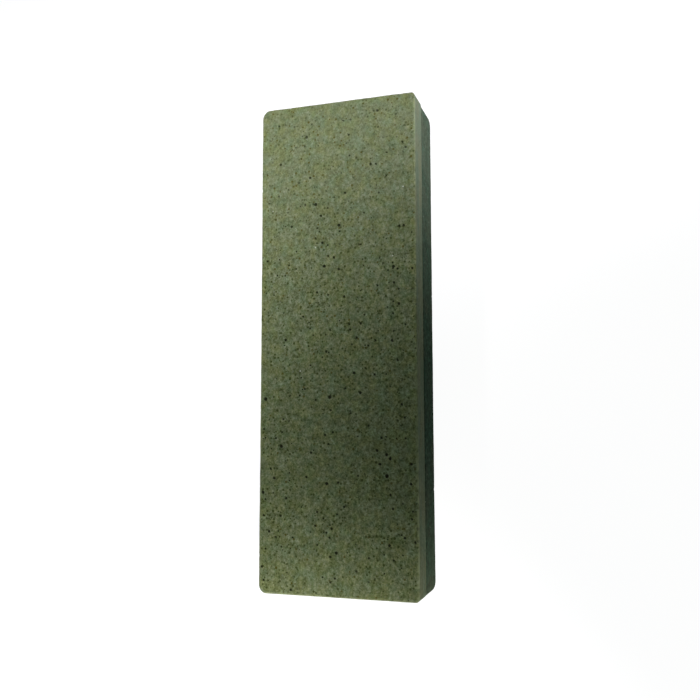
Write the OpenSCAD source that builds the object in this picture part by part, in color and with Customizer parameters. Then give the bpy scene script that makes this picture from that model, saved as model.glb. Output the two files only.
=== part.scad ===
// Two-layer bench whetstone: a thin fine-grit brick bonded on a thicker coarse-grit brick.
// It lies flat on its coarse face, with its length along X, its width along Y and its
// thickness up Z. The origin is the middle of the underside.

/* [Stone] */
// Length of the stone
stone_l = 180; // [100:1:250]
// Width of the stone
stone_w = 60; // [30:1:90]
// Radius of the four upright corners
corner_r = 2.5; // [2:0.1:5]

/* [Coarse layer] */
// Thickness of the coarse brick, the lower one
coarse_t = 14.9; // [6:0.1:30]
// Bevel round the lower edge of the coarse brick
coarse_ease = 0.8; // [0.2:0.1:1.2]

/* [Fine layer] */
// Thickness of the fine brick, the upper one
fine_t = 9.9; // [4:0.1:20]
// Bevel round the edge of the fine working face
fine_ease = 0.4; // [0.2:0.1:1.2]
// How far the fine brick stands back from the coarse brick on every side
fine_setback = 0.15; // [0.05:0.05:0.5]

/* [Bond line] */
// Thickness of the adhesive film between the two bricks
bond_t = 0.2; // [0.1:0.05:0.5]
// How far the film stays short of the coarse brick's sides
bond_setback = 0.4; // [0.2:0.05:0.8]
// Bevel on both bricks where they meet the bond line
seam_ease = 0.1; // [0.05:0.05:0.3]

/* [Hidden] */

$fn = 64;

bond_z = coarse_t;
fine_z = bond_z + bond_t;

coarse_green = [0.17, 0.21, 0.18];
fine_green = [0.42, 0.46, 0.36];
bond_grey = [0.25, 0.27, 0.23];

// Upright section of a brick that reaches the same distance to both sides of its middle.
// low and high are the bevels along its lower and upper edges.
function brick_section(reach, t, low, high) = [
    [-(reach - low), 0],
    [reach - low, 0],
    [reach, low],
    [reach, t - high],
    [reach - high, t],
    [-(reach - high), t],
    [-reach, t - high],
    [-reach, low]
];

// The half of that section on one side of the middle, which turned makes a corner post
function post_section(reach, t, low, high) = [
    [0, 0],
    [reach - low, 0],
    [reach, low],
    [reach, t - high],
    [reach - high, t],
    [0, t]
];

// A brick with rounded upright corners and bevelled edges, made of a bar along each
// direction and a turned post in each corner. It stands on z = 0.
module eased_brick(l, w, t, r, low, high) {
    rotate([90, 0, 90])
        linear_extrude(l - 2 * r, center = true)
            polygon(brick_section(w / 2, t, low, high));
    rotate([90, 0, 0])
        linear_extrude(w - 2 * r, center = true)
            polygon(brick_section(l / 2, t, low, high));
    for (side_x = [-1, 1], side_y = [-1, 1])
        translate([side_x * (l / 2 - r), side_y * (w / 2 - r), 0])
            rotate_extrude()
                polygon(post_section(r, t, low, high));
}

// Plain plate with rounded upright corners, standing on z = 0
module rounded_plate(l, w, t, r) {
    linear_extrude(t) {
        square([l - 2 * r, w], center = true);
        square([l, w - 2 * r], center = true);
        for (side_x = [-1, 1], side_y = [-1, 1])
            translate([side_x * (l / 2 - r), side_y * (w / 2 - r)])
                circle(r);
    }
}

// Lower brick: coarse dark grit, with the face that rests on the bench
module coarse_layer() {
    color(coarse_green)
        eased_brick(stone_l, stone_w, coarse_t, corner_r, coarse_ease, seam_ease);
}

// Adhesive film that holds the two bricks together, a little short of their sides
module bond_layer() {
    color(bond_grey)
        translate([0, 0, bond_z])
            rounded_plate(
                stone_l - 2 * bond_setback,
                stone_w - 2 * bond_setback,
                bond_t,
                corner_r - bond_setback
            );
}

// Upper brick: fine light grit, with the working face
module fine_layer() {
    color(fine_green)
        translate([0, 0, fine_z])
            eased_brick(
                stone_l - 2 * fine_setback,
                stone_w - 2 * fine_setback,
                fine_t,
                corner_r - fine_setback,
                seam_ease,
                fine_ease
            );
}

coarse_layer();
bond_layer();
fine_layer();
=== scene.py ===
import math
import random

import bmesh
import bpy
import numpy as np
from mathutils import Matrix, Vector, kdtree, noise


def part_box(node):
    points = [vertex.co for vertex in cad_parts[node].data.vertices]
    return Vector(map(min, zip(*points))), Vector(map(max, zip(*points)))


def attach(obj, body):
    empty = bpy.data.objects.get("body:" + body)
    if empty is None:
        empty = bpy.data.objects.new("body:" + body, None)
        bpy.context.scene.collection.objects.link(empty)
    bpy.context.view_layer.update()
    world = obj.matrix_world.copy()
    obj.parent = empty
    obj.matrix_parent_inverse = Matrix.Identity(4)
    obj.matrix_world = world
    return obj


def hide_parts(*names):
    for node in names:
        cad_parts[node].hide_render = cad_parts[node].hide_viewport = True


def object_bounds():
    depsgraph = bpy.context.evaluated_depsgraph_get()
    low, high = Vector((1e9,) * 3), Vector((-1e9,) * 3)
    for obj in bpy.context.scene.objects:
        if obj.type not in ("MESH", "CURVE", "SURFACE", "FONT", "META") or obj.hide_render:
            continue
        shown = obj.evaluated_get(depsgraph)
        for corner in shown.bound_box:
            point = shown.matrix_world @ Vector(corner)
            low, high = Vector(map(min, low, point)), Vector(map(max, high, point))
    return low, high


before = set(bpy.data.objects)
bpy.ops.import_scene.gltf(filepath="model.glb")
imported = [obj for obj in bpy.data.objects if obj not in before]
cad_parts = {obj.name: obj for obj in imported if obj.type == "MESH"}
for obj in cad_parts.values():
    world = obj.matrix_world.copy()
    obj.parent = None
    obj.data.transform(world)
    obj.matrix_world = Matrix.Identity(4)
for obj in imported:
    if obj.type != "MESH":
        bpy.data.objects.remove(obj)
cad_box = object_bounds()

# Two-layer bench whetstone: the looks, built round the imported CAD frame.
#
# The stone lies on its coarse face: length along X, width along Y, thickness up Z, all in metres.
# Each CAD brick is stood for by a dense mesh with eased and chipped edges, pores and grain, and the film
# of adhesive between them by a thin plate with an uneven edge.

MM = 0.001
STONE_TOP = cad_box[1][2]

# Camera: where it aims, how far back it stands on which line, and which way is up in its image.
CAMERA_LENS = 42.15
CAMERA_CLIP = 0.01
CAMERA_AIM = (-1.6 * MM, -1.02 * MM, STONE_TOP / 2)
CAMERA_DISTANCE = 0.3062
CAMERA_AZIMUTH = 252.2
CAMERA_ELEVATION = 71.0
CAMERA_UP = (1, -0.0018, 0)

# Lights: three softboxes of one size, and a world with one colour above the horizon and one below.
SOFTBOX_SIDE = 0.15
SOFTBOX_DISTANCE = 0.6
LIGHT_FROM_BELOW = (0.44, 0.46, 0.43, 1)
LIGHT_FROM_ABOVE = (0.205, 0.243, 0.238, 1)
HORIZON_BLEND = 0.05

# Stage: half the floor's side, and how much each surface reflects and glows.
STAGE_REACH = 6.0
FLOOR_ALBEDO, FLOOR_GLOW = 0.12, 0.955
DOME_ALBEDO, DOME_GLOW = 0.0, 0.99

# Shape of both bricks. ARRIS_REACH is in eases, and SIDE_HOLLOW is a share of the half width.
UP = np.array([0.0, 0.0, 1.0])
EASE_RINGS = 4
SEAM_EASE = 0.1 * MM
SIDE_HOLLOW = 0.0035
ARRIS_REACH = 1.7
BORDER_REACH = 3 * MM

# Pores and chips. Radii are ranges in millimetres, and depths and bites are shares of the radius.
FACE_PORE_RADIUS = (0.38, 0.52)
FACE_PORE_DEPTH = 0.35
BLACK_PORE_SHARE = 0.25
PALE_PORE_DARKNESS = (0.2, 0.6)
SIDE_PORE_RADIUS = (0.35, 0.6)
SIDE_PORE_DEPTH = 0.3
SIDE_PORE_DARKNESS = 0.5
CHIP_RADIUS = (0.5, 1.3)
CHIP_BITE = (0.12, 0.3)

# Shape of the film: points along X and along Y, corner radius, and how its edge bulges and is bevelled.
FILM_POINTS = (300, 100)
FILM_CORNER = 2.1 * MM
FILM_BULGE = 0.08 * MM
FILM_BULGE_LENGTH = 3 * MM
FILM_BEVEL = 0.06 * MM
FILM_SEED = 31


# ---------------------------------------------------------------- camera, lights and floor

def turned_to(place, target, up):
    """World matrix of a camera or light at place that looks at target, with up towards its image's top."""
    back = (place - target).normalized()
    right = up.cross(back).normalized()
    matrix = Matrix((right, back.cross(right), back)).transposed().to_4x4()
    matrix.translation = place
    return matrix


def direction(azimuth, elevation):
    """Unit vector at an azimuth turned from +X towards +Y and an elevation above the floor, in degrees."""
    a, e = math.radians(azimuth), math.radians(elevation)
    return Vector((math.cos(e) * math.cos(a), math.cos(e) * math.sin(a), math.sin(e)))


def make_camera():
    """Looks down on the fine face from beyond the -Y side, with the stone's length up the image."""
    data = bpy.data.cameras.new("camera")
    data.lens = CAMERA_LENS
    data.clip_start = CAMERA_CLIP
    camera = bpy.data.objects.new("camera", data)
    bpy.context.scene.collection.objects.link(camera)
    aim = Vector(CAMERA_AIM)
    place = aim + CAMERA_DISTANCE * direction(CAMERA_AZIMUTH, CAMERA_ELEVATION)
    camera.matrix_world = turned_to(place, aim, Vector(CAMERA_UP))
    bpy.context.scene.camera = camera


def make_softbox(name, azimuth, elevation, aim, spread, radiance, tint):
    """A gridded softbox, aimed at an (x, y) point on the level of the fine face. Angles are in degrees."""
    data = bpy.data.lights.new(name, "AREA")
    data.size = SOFTBOX_SIDE
    data.spread = math.radians(spread)
    data.energy = radiance * math.pi * SOFTBOX_SIDE * SOFTBOX_SIDE
    data.color = tint
    light = bpy.data.objects.new(name, data)
    bpy.context.scene.collection.objects.link(light)
    target = Vector((*aim, STONE_TOP))
    place = target + SOFTBOX_DISTANCE * direction(azimuth, elevation)
    light.matrix_world = turned_to(place, target, Vector((0, 0, 1)))
    light.visible_camera = False


def make_world():
    """Soft light from all round, brighter from below the horizon, as from a white table."""
    world = bpy.data.worlds.new("studio")
    bpy.context.scene.world = world
    world.use_nodes = True
    nodes, links = world.node_tree.nodes, world.node_tree.links
    height = nodes.new("ShaderNodeSeparateXYZ")
    links.new(nodes.new("ShaderNodeTexCoord").outputs["Generated"], height.inputs[0])
    rise = nodes.new("ShaderNodeValToRGB")
    low, high = rise.color_ramp.elements
    low.position, low.color = 0.0, LIGHT_FROM_BELOW
    high.position, high.color = HORIZON_BLEND, LIGHT_FROM_ABOVE
    links.new(height.outputs["Z"], rise.inputs[0])
    links.new(rise.outputs[0], nodes["Background"].inputs["Color"])


def make_stage_piece(name, mesh, albedo, glow):
    """A plain pale surface that glows evenly to the camera and sends no light to the stone."""
    piece = bpy.data.objects.new(name, mesh)
    bpy.context.scene.collection.objects.link(piece)
    material = bpy.data.materials.new(name + "_white")
    material.use_nodes = True
    shader = material.node_tree.nodes["Principled BSDF"]
    shader.inputs["Base Color"].default_value = (albedo, albedo, albedo, 1)
    shader.inputs["Roughness"].default_value = 0.9
    shader.inputs["Specular IOR Level"].default_value = 0.0
    shader.inputs["Emission Color"].default_value = (1, 1, 1, 1)
    shader.inputs["Emission Strength"].default_value = glow
    mesh.materials.append(material)
    piece.visible_diffuse = False
    piece.visible_glossy = False
    piece.visible_shadow = False


def make_stage():
    """A white floor inside a pale dome, both lit from within so that they stay white all over."""
    reach = STAGE_REACH
    floor = bpy.data.meshes.new("floor")
    corners = [(-reach, -reach, 0), (reach, -reach, 0), (reach, reach, 0), (-reach, reach, 0)]
    floor.from_pydata(corners, [], [(0, 1, 2, 3)])
    make_stage_piece("floor", floor, FLOOR_ALBEDO, FLOOR_GLOW)
    dome = bpy.data.meshes.new("backdrop")
    shell = bmesh.new()
    bmesh.ops.create_uvsphere(shell, u_segments=64, v_segments=32, radius=0.95 * reach)
    shell.to_mesh(dome)
    shell.free()
    make_stage_piece("backdrop", dome, DOME_ALBEDO, DOME_GLOW)


# ---------------------------------------------------------------- outlines

def rounded(x, y, half_x, half_y, corners):
    """Moves points of a plain rectangle so that its outline gets rounded corners.

    corners gives the radius at (+X +Y), (+X -Y), (-X -Y) and (-X +Y), or a pair of radii along X and Y
    for a corner worn longer one way. Also returns outward normals, which hold for points on the outline."""
    along_x, along_y = np.array([np.broadcast_to(c, 2) for c in corners]).T
    corner = np.where(x > 0, np.where(y > 0, 0, 1), np.where(y < 0, 2, 3))
    radius_x, radius_y = along_x[corner], along_y[corner]
    into_x = (np.abs(x) - half_x + radius_x) / radius_x
    into_y = (np.abs(y) - half_y + radius_y) / radius_y
    at_corner = (into_x > 0) & (into_y > 0)
    into_x, into_y = np.where(at_corner, into_x, 1.0), np.where(at_corner, into_y, 1.0)
    pull = np.where(at_corner, np.maximum(into_x, into_y) / np.hypot(into_x, into_y), 1.0)
    new_x = np.where(at_corner, np.sign(x) * (half_x - radius_x + radius_x * into_x * pull), x)
    new_y = np.where(at_corner, np.sign(y) * (half_y - radius_y + radius_y * into_y * pull), y)
    on_end = np.abs(x) > half_x - 1e-7
    slope_x, slope_y = into_x / radius_x, into_y / radius_y
    slope = np.hypot(slope_x, slope_y)
    normal_x = np.sign(x) * np.where(at_corner, slope_x / slope, on_end * 1.0)
    normal_y = np.sign(y) * np.where(at_corner, slope_y / slope, ~on_end * 1.0)
    return new_x, new_y, normal_x, normal_y


def perimeter(count_x, count_y):
    """Grid indices (i, j) once round the outline, anticlockwise."""
    return (
        [(i, 0) for i in range(count_x)]
        + [(count_x, j) for j in range(count_y)]
        + [(i, count_y) for i in range(count_x, 0, -1)]
        + [(0, j) for j in range(count_y, 0, -1)]
    )


def hollowed(place, half_x):
    """Draws the long sides in a little towards mid-length, as on a stone rubbed flat by hand."""
    place[:, 1] *= 1 - SIDE_HOLLOW * (1 - (place[:, 0] / half_x) ** 2)


def wobble(points, size, seed):
    """Smooth noise from -1 to 1 at each point, with features of about that size."""
    shift = Vector((seed * 17.3, seed * 5.9, seed * 11.1))
    return np.array([noise.noise(Vector(p) / size + shift) for p in points])


# ---------------------------------------------------------------- brick meshes

class Brick:
    """A dense closed mesh of one brick, its worked face up at z = thickness, its bonded face at z = 0.

    Arrays hold each vertex's place, outward normal and three masks that the material reads: pit, inside
    a pore; arris, on the worked edge; and border, in a wider strip along that edge."""

    def __init__(self, size, corners, cell, ease, seed):
        self.half_x, self.half_y, self.thickness = size[0] / 2, size[1] / 2, size[2]
        self.ease = ease
        self.seed = seed
        self.places, self.normals = [], []
        nx, ny = round(2 * self.half_x / cell), round(2 * self.half_y / cell)
        face, edge = self.add_face(nx, ny, corners)
        rings = [edge] + self.add_sides(round((self.thickness - ease) / cell))
        self.place, self.normal = np.concatenate(self.places), np.concatenate(self.normals)
        self.quads = self.joined(face, rings)
        self.bond_face = rings[-1][::-1]
        self.mask_edges()
        hollowed(self.place, self.half_x)
        self.tree = kdtree.KDTree(len(self.place))
        for i, p in enumerate(self.place):
            self.tree.insert(p, i)
        self.tree.balance()

    def add_points(self, place, normal):
        """Adds points that share a normal or have one each, and returns their indices."""
        start = sum(len(p) for p in self.places)
        self.places.append(place)
        self.normals.append(np.broadcast_to(normal, place.shape))
        return np.arange(start, start + len(place))

    def add_face(self, nx, ny, corners):
        """Adds the worked face, and keeps the rim that the sides are built from.

        Returns the indices of the face's grid and of its edge."""
        outline = perimeter(nx, ny)
        edge = tuple(np.array(outline).T)
        line_x = np.linspace(-self.half_x, self.half_x, nx + 1)
        line_y = np.linspace(-self.half_y, self.half_y, ny + 1)
        grid_x, grid_y = np.meshgrid(line_x, line_y, indexing="ij")
        plan_x, plan_y, _, _ = rounded(grid_x, grid_y, self.half_x, self.half_y, corners)
        rim_x, rim_y, normal_x, normal_y = rounded(
            grid_x[edge], grid_y[edge], self.half_x, self.half_y, corners
        )
        level = np.zeros(len(outline))
        self.rim = np.stack([rim_x, rim_y, level], 1)
        self.out = np.stack([normal_x, normal_y, level], 1)
        long_waves = wobble(self.rim, 9 * MM, self.seed)
        short_waves = wobble(self.rim, 2 * MM, self.seed + 1)
        self.rim_ease = self.ease * (1 + 0.3 * long_waves + 0.25 * short_waves)[:, None]

        face_x = plan_x * ((self.half_x - self.ease) / self.half_x)
        face_y = plan_y * ((self.half_y - self.ease) / self.half_y)
        face = np.stack([face_x, face_y, np.full_like(face_x, self.thickness)], 2)
        face[edge] = self.rim - self.out * self.rim_ease + UP * self.thickness
        index = self.add_points(face.reshape(-1, 3), UP).reshape(nx + 1, ny + 1)
        return index, index[edge]

    def add_sides(self, wall_rows):
        """Adds the rings of the eased edge, of the wall and of the small bevel at the bonded face."""
        rings = []
        for k in range(1, EASE_RINGS + 1):
            turn = 0.5 * math.pi * k / EASE_RINGS
            inset = self.rim_ease * (1 - math.sin(turn))
            drop = self.rim_ease * (1 - math.cos(turn))
            place = self.rim - self.out * inset + UP * (self.thickness - drop)
            rings.append(self.add_points(place, self.out * math.sin(turn) + UP * math.cos(turn)))
        wall_top = self.thickness - self.rim_ease
        for k in range(1, wall_rows + 1):
            height = wall_top + (SEAM_EASE - wall_top) * k / wall_rows
            rings.append(self.add_points(self.rim + UP * height, self.out))
        rings.append(self.add_points(self.rim - self.out * SEAM_EASE, self.out))
        return rings

    def joined(self, face, rings):
        """The quads of the face's grid and of the bands between neighbouring rings."""
        grid = np.stack([face[:-1, :-1], face[1:, :-1], face[1:, 1:], face[:-1, 1:]], 2).reshape(-1, 4)
        bands = [
            np.stack([upper, lower, np.roll(lower, -1), np.roll(upper, -1)], 1)
            for upper, lower in zip(rings, rings[1:])
        ]
        return np.concatenate([grid] + bands)

    def mask_edges(self):
        """Sets the masks before anything has moved: no pit yet, and the edge's two strips."""
        self.pit = np.zeros(len(self.place))
        from_side = self.half_x - np.abs(self.place[:, 0])
        inward = np.minimum(from_side, self.half_y - np.abs(self.place[:, 1]))
        from_edge = np.hypot(inward, self.thickness - self.place[:, 2])
        self.arris = np.clip(1 - from_edge / (ARRIS_REACH * self.ease), 0, 1)
        self.border = np.clip(1 - from_edge / BORDER_REACH, 0, 1)

    def roughen(self, size, depth, seed):
        """Shallow unevenness all over, never proud of the brick's true size."""
        sunk = depth * (0.5 + 0.5 * wobble(self.place, size, self.seed + seed))
        self.place -= self.normal * sunk[:, None]

    def pore(self, centre, radius, depth, darkness):
        """One pit: a dimple that is steep near its rim, and more or less filled with dark swarf."""
        for _, i, distance in self.tree.find_range(centre, radius):
            share = 1 - (distance / radius) ** 2
            self.place[i] -= self.normal[i] * depth * share
            self.pit[i] = max(self.pit[i], share * darkness)

    def chip(self, station, radius, bite):
        """A small flake out of the worked edge, as if a ball had been pressed into it."""
        rim, out = self.rim[station], self.out[station]
        diagonal = np.array([out[0], out[1], 1.0]) / math.sqrt(2)
        centre = np.array([rim[0], rim[1], self.thickness]) + diagonal * (radius - bite)
        for _, i, distance in self.tree.find_range(centre, radius):
            away = (self.place[i] - centre) / max(distance, 1e-6)
            self.place[i] += away * (radius - distance)
            self.arris[i] = 1.0

    def to_object(self, name, lift, flip):
        """Makes the Blender object with its underside at height lift, turned over if flip is true."""
        place = self.place.copy()
        faces = self.quads.tolist() + [self.bond_face.tolist()]
        if flip:
            place[:, 2] = self.thickness - place[:, 2]
            faces = [f[::-1] for f in faces]
        place[:, 2] += lift
        mesh = bpy.data.meshes.new(name)
        mesh.from_pydata(place.tolist(), [], faces)
        mesh.polygons.foreach_set("use_smooth", [True] * (len(faces) - 1) + [False])
        for label, values in (("pit", self.pit), ("arris", self.arris), ("border", self.border)):
            mask = mesh.attributes.new(label, "FLOAT", "POINT")
            mask.data.foreach_set("value", values.astype(np.float32))
        piece = bpy.data.objects.new(name, mesh)
        bpy.context.scene.collection.objects.link(piece)
        return piece


def cut_face_pores(brick, rng, count):
    """Scatters pits over the worked face: some black ones, and smaller, paler ones between them."""
    for _ in range(count):
        darkness = 1.0 if rng.random() < BLACK_PORE_SHARE else rng.uniform(*PALE_PORE_DARKNESS)
        radius = rng.uniform(*FACE_PORE_RADIUS) * MM * (0.85 + 0.4 * darkness)
        radius *= 1 + 0.6 * rng.random() ** 8
        x, y = rng.uniform(-brick.half_x, brick.half_x), rng.uniform(-brick.half_y, brick.half_y)
        brick.pore(Vector((x, y, brick.thickness)), radius, FACE_PORE_DEPTH * radius, darkness)


def cut_side_pores(brick, rng, count):
    """Scatters half-filled pits over the sides."""
    for _ in range(count):
        radius = rng.uniform(*SIDE_PORE_RADIUS) * MM
        rim = brick.rim[rng.randrange(len(brick.rim))]
        height = rng.uniform(0.5 * MM, brick.thickness - 0.5 * MM)
        brick.pore(Vector((rim[0], rim[1], height)), radius, SIDE_PORE_DEPTH * radius, SIDE_PORE_DARKNESS)


def cut_chips(brick, rng, count):
    """Takes small flakes out of the worked edge."""
    for _ in range(count):
        radius = rng.uniform(*CHIP_RADIUS) * MM
        station = rng.randrange(len(brick.rim))
        brick.chip(station, radius, radius * rng.uniform(*CHIP_BITE) + 0.3 * brick.ease)


def make_brick(name, node, corners, cell, ease, pores, side_pores, chips, grain, flip, seed):
    """Builds the worn brick that stands for a CAD node."""
    low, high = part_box(node)
    rng = random.Random(seed)
    brick = Brick(high - low, corners, cell, ease, seed)
    brick.roughen(size=14 * MM, depth=0.04 * MM, seed=2)
    brick.roughen(size=1.1 * MM, depth=grain, seed=3)
    brick.roughen(size=0.6 * MM, depth=grain, seed=4)
    cut_face_pores(brick, rng, pores)
    cut_side_pores(brick, rng, side_pores)
    cut_chips(brick, rng, chips)
    piece = brick.to_object(name, low.z, flip)
    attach(piece, "root")
    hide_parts(node)
    return piece


# ---------------------------------------------------------------- the bond line

def make_bond(name, node):
    """The adhesive film: a thin plate whose edge bulges and shrinks a little along the seam."""
    low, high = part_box(node)
    half_x, half_y = (high.x - low.x) / 2, (high.y - low.y) / 2
    nx, ny = FILM_POINTS
    outline = np.array(perimeter(nx, ny))
    grid_x, grid_y = (outline[:, 0] / nx * 2 - 1) * half_x, (outline[:, 1] / ny * 2 - 1) * half_y
    x, y, normal_x, normal_y = rounded(grid_x, grid_y, half_x, half_y, [FILM_CORNER] * 4)
    count = len(outline)
    level = np.zeros(count)
    rim, out = np.stack([x, y, level], 1), np.stack([normal_x, normal_y, level], 1)
    hollowed(rim, half_x)
    bulge = (FILM_BULGE * (1 + wobble(rim, FILM_BULGE_LENGTH, FILM_SEED)))[:, None]
    rings = []
    for height, inset in ((0.0, FILM_BEVEL), (0.3, 0.0), (0.7, 0.0), (1.0, FILM_BEVEL)):
        ring = rim + out * (bulge - inset)
        ring[:, 2] = low.z + height * (high.z - low.z)
        rings.append(ring)
    faces = []
    for lower in range(0, count * (len(rings) - 1), count):
        for i in range(count):
            j = (i + 1) % count
            faces.append((lower + i, lower + j, lower + count + j, lower + count + i))
    faces.append(tuple(range(count))[::-1])
    faces.append(tuple(range((len(rings) - 1) * count, len(rings) * count)))
    mesh = bpy.data.meshes.new(name)
    mesh.from_pydata(np.concatenate(rings).tolist(), [], faces)
    piece = bpy.data.objects.new(name, mesh)
    bpy.context.scene.collection.objects.link(piece)
    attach(piece, "root")
    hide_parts(node)
    return piece


# ---------------------------------------------------------------- materials

def paint(red, green, blue):
    """A colour given as 0-255 screen values, as the linear value that a shader takes."""
    screen = [c / 255 for c in (red, green, blue)]
    return (*[c / 12.92 if c <= 0.04045 else ((c + 0.055) / 1.055) ** 2.4 for c in screen], 1)


class Look:
    """Short calls that add nodes to one material. Sizes are in metres and become texture scales."""

    def __init__(self, name):
        self.material = bpy.data.materials.new(name)
        self.material.use_nodes = True
        self.tree = self.material.node_tree
        self.shader = self.tree.nodes["Principled BSDF"]
        self.place = self.add("TexCoord").outputs["Object"]

    def add(self, kind, **settings):
        """Adds a shader node and sets its properties."""
        node = self.tree.nodes.new("ShaderNode" + kind)
        for key, value in settings.items():
            setattr(node, key, value)
        return node

    def link(self, value, socket):
        """Sets a socket from another socket, or from a plain value."""
        if isinstance(value, bpy.types.NodeSocket):
            self.tree.links.new(value, socket)
        else:
            socket.default_value = value

    def shifted(self, offset, stretch=(1, 1, 1)):
        """Object coordinates, moved and stretched so that two textures don't line up."""
        node = self.add("Mapping")
        self.link(self.place, node.inputs["Vector"])
        node.inputs["Location"].default_value = offset
        node.inputs["Scale"].default_value = stretch
        return node.outputs[0]

    def along(self):
        """The place along the stone's length, 0 at its middle."""
        split = self.add("SeparateXYZ")
        self.link(self.place, split.inputs[0])
        return split.outputs["X"]

    def noise(self, size, detail=2.0, roughness=0.5, offset=(0, 0, 0), stretch=(1, 1, 1)):
        """Soft noise round a half, with features of about that size."""
        node = self.add("TexNoise")
        self.link(self.shifted(offset, stretch), node.inputs["Vector"])
        node.inputs["Scale"].default_value = 1 / size
        node.inputs["Detail"].default_value = detail
        node.inputs["Roughness"].default_value = roughness
        return node.outputs["Fac"]

    def cells(self, size, offset):
        """Random cells: the distance to the cell's middle in cell sizes, and random values per cell."""
        node = self.add("TexVoronoi")
        self.link(self.shifted(offset), node.inputs["Vector"])
        node.inputs["Scale"].default_value = 1 / size
        split = self.add("SeparateColor")
        self.link(node.outputs["Color"], split.inputs[0])
        return node.outputs["Distance"], split.outputs

    def step(self, value, start, end, low=0.0, high=1.0):
        """Smooth step from low to high as value goes from start to end."""
        node = self.add("MapRange", interpolation_type="SMOOTHSTEP")
        for socket, v in zip(node.inputs[:5], (value, start, end, low, high)):
            self.link(v, socket)
        return node.outputs[0]

    def math(self, operation, a, b=0.0, c=0.0):
        """One operation on up to three values, where b and c count only if the operation takes them."""
        node = self.add("Math", operation=operation)
        for socket, v in zip(node.inputs, (a, b, c)):
            self.link(v, socket)
        return node.outputs[0]

    def times(self, a, b):
        """The product of two values or masks."""
        return self.math("MULTIPLY", a, b)

    def spread(self, *weighted):
        """Sum of values that lie round a half, each with its weight, brought back to lie round a half."""
        total = 0.5 - sum(weight for _, weight in weighted) / 2
        for value, weight in weighted:
            total = self.math("MULTIPLY_ADD", value, weight, total)
        return total

    def ramp(self, value, stops):
        """Colour that goes through (position, colour) stops as value rises."""
        node = self.add("ValToRGB")
        self.link(value, node.inputs[0])
        elements = node.color_ramp.elements
        elements[0].position, elements[0].color = stops[0]
        elements[1].position, elements[1].color = stops[-1]
        for position, colour in stops[1:-1]:
            elements.new(position).color = colour
        return node.outputs[0]

    def mix(self, share, under, over, blend="MIX"):
        """Blends two colours: under where share is 0, over where it is 1."""
        node = self.add("Mix", data_type="RGBA", blend_type=blend)
        self.link(share, node.inputs["Factor"])
        self.link(under, node.inputs["A"])
        self.link(over, node.inputs["B"])
        return node.outputs["Result"]

    def tinted(self, share, colour, red, green, blue):
        """Multiplies a colour's parts by three factors where share is 1."""
        return self.mix(share, colour, (red, green, blue, 1), "MULTIPLY")

    def specks(self, size, share, reach, offset):
        """Mask of round specks in a share of the cells, with radii of 0.6 to 1.1 times reach cell sizes."""
        distance, random_value = self.cells(size, offset)
        chosen = self.math("LESS_THAN", random_value[0], share)
        scaled = self.math("DIVIDE", distance, self.math("MULTIPLY_ADD", random_value[1], 0.5, 0.6))
        return self.times(self.step(scaled, reach, 0.6 * reach), chosen)

    def attribute(self, name):
        """One of the masks that the mesh carries."""
        return self.add("Attribute", attribute_name=name).outputs["Fac"]

    def ragged_pits(self, size, amount):
        """The mask of the pores, with their rims broken up by noise."""
        uneven = self.times(self.noise(size, 2, 0.6, offset=(9, 9, 9)), amount)
        return self.math("ADD", self.attribute("pit"), uneven)

    def flatness(self):
        """1 on the big level faces and 0 on the sides."""
        split = self.add("SeparateXYZ")
        self.link(self.add("TexCoord").outputs["Normal"], split.inputs[0])
        return self.step(self.math("ABSOLUTE", split.outputs["Z"]), 0.5, 0.9)

    def bump(self, height, depth, under=None):
        """Normals of a fine relief, on top of the normals under it."""
        node = self.add("Bump")
        node.inputs["Strength"].default_value = 1.0
        node.inputs["Distance"].default_value = depth
        self.link(height, node.inputs["Height"])
        if under is not None:
            self.link(under, node.inputs["Normal"])
        return node.outputs[0]

    def relief(self, broad, fine):
        """Links the shader's normal to two reliefs, each given as its noise and its depth."""
        self.link(self.bump(*fine, self.bump(*broad)), self.shader.inputs["Normal"])

    def matt(self, grain_size, low, high):
        """Links the shader's roughness to a noise that runs from low to high."""
        self.link(self.step(self.noise(grain_size), 0.3, 0.7, low, high), self.shader.inputs["Roughness"])


def fine_ground(look, vivid):
    """Pale and dark grains of the fine grit, which stand out as much as vivid says."""
    _, tint = look.cells(0.45 * MM, offset=(1, 0, 3))
    lumps = look.noise(3.2 * MM, 3, 0.65, offset=(1, 4, 2))
    grains = look.noise(1.25 * MM, 2, 0.6, offset=(6, 1, 5))
    grain = look.spread((lumps, 0.6), (grains, 0.92), (tint[0], 0.34))
    grain = look.math("ADD", look.times(look.math("SUBTRACT", grain, 0.5), vivid), 0.5)
    shades = [(0.1, paint(49, 57, 29)), (0.5, paint(91, 98, 71)), (0.9, paint(124, 130, 105))]
    return look.ramp(grain, shades)


def fine_clouds(look, colour):
    """Faint teal and olive clouds, a few millimetres across."""
    teal = look.step(look.noise(4.5 * MM, 3, 0.6, offset=(3, 1, 2)), 0.42, 0.66)
    colour = look.tinted(teal, colour, 0.9, 1.0, 1.0)
    olive = look.step(look.noise(4 * MM, 4, 0.65, offset=(5, 7, 1)), 0.4, 0.64)
    return look.tinted(olive, colour, 1.0, 0.97, 0.77)


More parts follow.
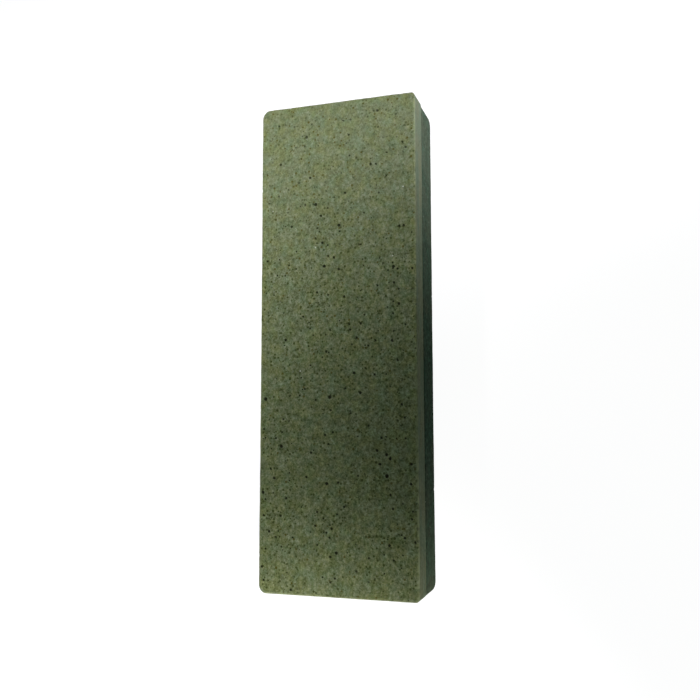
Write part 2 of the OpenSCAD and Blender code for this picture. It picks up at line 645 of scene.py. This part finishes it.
def fine_dots(look, colour, along, vivid):
    """Pale, brown, olive and black dots and a few painted glints of crystals. Towards +X more of them are
    brown.
    """
    pale = look.specks(1.3 * MM, share=0.14, reach=0.4, offset=(4, 4, 1))
    colour = look.mix(look.times(pale, 0.3), colour, paint(124, 130, 112))
    brown_share = look.step(along, 0.0, 80 * MM, 0.12, 0.4)
    brown = look.specks(1.7 * MM, brown_share, reach=0.32, offset=(6, 2, 9))
    colour = look.mix(look.times(brown, 0.85), colour, paint(64, 59, 14))
    crowding = look.step(look.noise(13 * MM, offset=(7, 3, 3)), 0.35, 0.65, 0.15, 0.55)
    olive = look.specks(1.3 * MM, crowding, reach=0.42, offset=(8, 1, 4))
    colour = look.mix(look.times(olive, look.times(vivid, 0.85)), colour, paint(43, 50, 14))
    black = look.specks(2.2 * MM, crowding, reach=0.23, offset=(5, 6, 4))
    blackness = look.step(along, 20 * MM, 80 * MM, 0.95, 0.6)
    colour = look.mix(look.times(black, blackness), colour, paint(14, 17, 2))
    # Painted glints: a few bright specks where crystals catch the light.
    glint = look.specks(5 * MM, share=0.09, reach=0.08, offset=(9, 6, 2))
    return look.mix(look.times(glint, 0.7), colour, paint(170, 174, 158))


def fine_stain(look, colour):
    """Yellowish stains here and there along the edge."""
    patches = look.step(look.noise(6 * MM, 3, 0.6, offset=(2, 8, 8)), 0.4, 0.6)
    stained = look.times(look.attribute("border"), patches)
    return look.tinted(look.times(stained, 0.6), colour, 1.08, 1.06, 0.7)


def fine_sawn_side(look):
    """Greyer colour of the sides, streaked along the length by the saw, with a reddish blush in places."""
    streak = look.noise(1.2 * MM, 3, 0.6, offset=(0, 2, 0), stretch=(0.06, 1, 1))
    sawn = look.ramp(streak, [(0.3, paint(66, 79, 64)), (0.7, paint(87, 98, 82))])
    blush = look.step(look.noise(5 * MM, offset=(4, 0, 6), stretch=(0.4, 1, 1)), 0.42, 0.6)
    return look.tinted(blush, sawn, 1.22, 1.0, 0.92)


def fine_swarf_and_highlight(look, colour, along):
    """Dark swarf in the pores, and a painted highlight: a paler worked edge, plainest towards -X."""
    ragged = look.ragged_pits(0.6 * MM, 0.4)
    filled = look.step(along, 30 * MM, 88 * MM, 0.97, 0.8)
    colour = look.mix(look.times(look.step(ragged, 0.3, 0.8), filled), colour, paint(16, 18, 3))
    # Painted highlight along the worked edge, strongest towards -X, where the light catches it.
    highlight_strength = look.step(along, 10 * MM, -30 * MM, 0.35, 1.0)
    pale_edge = look.times(look.attribute("arris"), look.step(look.noise(3 * MM, 3), 0.3, 0.55))
    return look.mix(look.times(pale_edge, highlight_strength), colour, paint(122, 128, 98))


def fine_abrasive():
    """Light green-grey fine grit with clouds, dots and dark pores, and greyer sawn sides."""
    look = Look("fine_abrasive")
    along = look.along()
    vivid = look.step(along, 10 * MM, 85 * MM, 1.0, 0.62)
    colour = fine_clouds(look, fine_ground(look, vivid))
    colour = fine_stain(look, fine_dots(look, colour, along, vivid))
    colour = look.mix(look.flatness(), look.mix(0.3, fine_sawn_side(look), colour), colour)
    look.link(fine_swarf_and_highlight(look, colour, along), look.shader.inputs["Base Color"])
    look.relief(
        broad=(look.noise(1.1 * MM, 3, 0.65, offset=(2, 2, 2)), 0.06 * MM),
        fine=(look.noise(0.3 * MM, 2, 0.6, offset=(7, 2, 2)), 0.02 * MM),
    )
    look.matt(0.6 * MM, 0.8, 0.95)
    look.shader.inputs["Specular IOR Level"].default_value = 0.1
    return look.material


def coarse_ground(look):
    """Dark green grains, with teal and grey-brown patches and a few pale crystals painted bright as glints.
    """
    _, tint = look.cells(0.7 * MM, offset=(1, 0, 3))
    grains = look.noise(1.5 * MM, 3, 0.7, offset=(6, 1, 5))
    shades = [(0.2, paint(17, 32, 21)), (0.5, paint(31, 51, 37)), (0.8, paint(51, 73, 57))]
    colour = look.ramp(look.spread((grains, 1.35), (tint[0], 0.42)), shades)
    teal = look.step(look.noise(9 * MM, offset=(3, 1, 2)), 0.45, 0.6)
    colour = look.tinted(teal, colour, 0.8, 1.0, 0.98)
    brown = look.step(look.noise(11 * MM, offset=(5, 3, 7)), 0.5, 0.62)
    colour = look.tinted(brown, colour, 1.35, 1.0, 0.95)
    # Pale crystals, painted bright as glints.
    pale = look.specks(2.4 * MM, share=0.08, reach=0.16, offset=(4, 4, 1))
    return look.mix(look.times(pale, 0.7), colour, paint(150, 162, 146))


def coarse_dust_and_sheen(look, colour):
    """Patchy paler colour that thickens towards both ends: partly dust, partly painted sheen where light
    grazes the ends.
    """
    along = look.along()
    front = look.step(along, -25 * MM, 75 * MM, 0, 0.36)
    back = look.step(along, -25 * MM, -85 * MM, 0, 0.26)
    patchy = look.step(look.noise(8 * MM, 3, 0.6, offset=(8, 8, 3)), 0.3, 0.6, 0.5, 1.0)
    # Paler towards both ends: dust, and painted sheen where the light grazes the ends.
    return look.mix(look.times(look.math("ADD", front, back), patchy), colour, paint(88, 91, 74))


def coarse_wear(look, colour):
    """Dark pores, and a slightly paler worn edge."""
    ragged = look.ragged_pits(0.5 * MM, 0.5)
    colour = look.mix(look.step(ragged, 0.45, 0.9, 0, 0.9), colour, paint(10, 14, 10))
    pale_edge = look.times(look.attribute("arris"), look.step(look.noise(3 * MM, 3), 0.35, 0.6))
    return look.mix(look.times(pale_edge, 0.35), colour, paint(76, 84, 72))


def coarse_abrasive():
    """Dark green coarse grit, paler towards the ends with dust and painted sheen."""
    look = Look("coarse_abrasive")
    colour = coarse_wear(look, coarse_dust_and_sheen(look, coarse_ground(look)))
    look.link(colour, look.shader.inputs["Base Color"])
    look.relief(
        broad=(look.noise(1 * MM, 3, 0.7, offset=(2, 2, 2)), 0.12 * MM),
        fine=(look.noise(0.35 * MM, 2, 0.6, offset=(7, 2, 2)), 0.04 * MM),
    )
    look.matt(0.6 * MM, 0.8, 0.95)
    look.shader.inputs["Specular IOR Level"].default_value = 0.06
    return look.material


def bond_adhesive():
    """Dull dark adhesive with dust caught in it."""
    look = Look("bond_adhesive")
    dust = look.step(look.noise(2 * MM, 3), 0.35, 0.65)
    look.link(look.mix(dust, paint(44, 52, 42), paint(62, 68, 54)), look.shader.inputs["Base Color"])
    look.link(look.bump(look.noise(0.4 * MM), 0.03 * MM), look.shader.inputs["Normal"])
    look.matt(1 * MM, 0.6, 0.85)
    return look.material


# ---------------------------------------------------------------- the scene

make_camera()
make_world()
make_stage()
make_softbox(
    "key_softbox", azimuth=-77, elevation=36, aim=(0.146, -0.075),
    spread=12.8, radiance=2.88, tint=(1.03, 1.0, 1.16),
)
make_softbox(
    "end_softbox", azimuth=-135, elevation=39, aim=(-0.276, -0.031),
    spread=17.3, radiance=26.0, tint=(1.02, 1.0, 0.95),
)
make_softbox(
    "back_softbox", azimuth=115, elevation=53, aim=(0.034, 0.125),
    spread=17.5, radiance=2.9, tint=(1.02, 1.0, 1.0),
)
bpy.context.scene.view_settings.view_transform = "Standard"

fine_brick = make_brick(
    "fine_brick", "fine_layer",
    corners=[3.2 * MM, (2.3 * MM, 1.6 * MM), 1.7 * MM, 3.1 * MM], cell=0.42 * MM, ease=0.6 * MM,
    pores=420, side_pores=60, chips=60, grain=0.012 * MM, flip=False, seed=3,
)
fine_brick.data.materials.append(fine_abrasive())

coarse_brick = make_brick(
    "coarse_brick", "coarse_layer",
    corners=[3.0 * MM, (5.2 * MM, 2.2 * MM), (3.8 * MM, 1.8 * MM), 2.8 * MM], cell=0.46 * MM, ease=0.6 * MM,
    pores=500, side_pores=160, chips=110, grain=0.03 * MM, flip=True, seed=5,
)
coarse_brick.data.materials.append(coarse_abrasive())

bond_film = make_bond("bond_film", "bond_layer")
bond_film.data.materials.append(bond_adhesive())
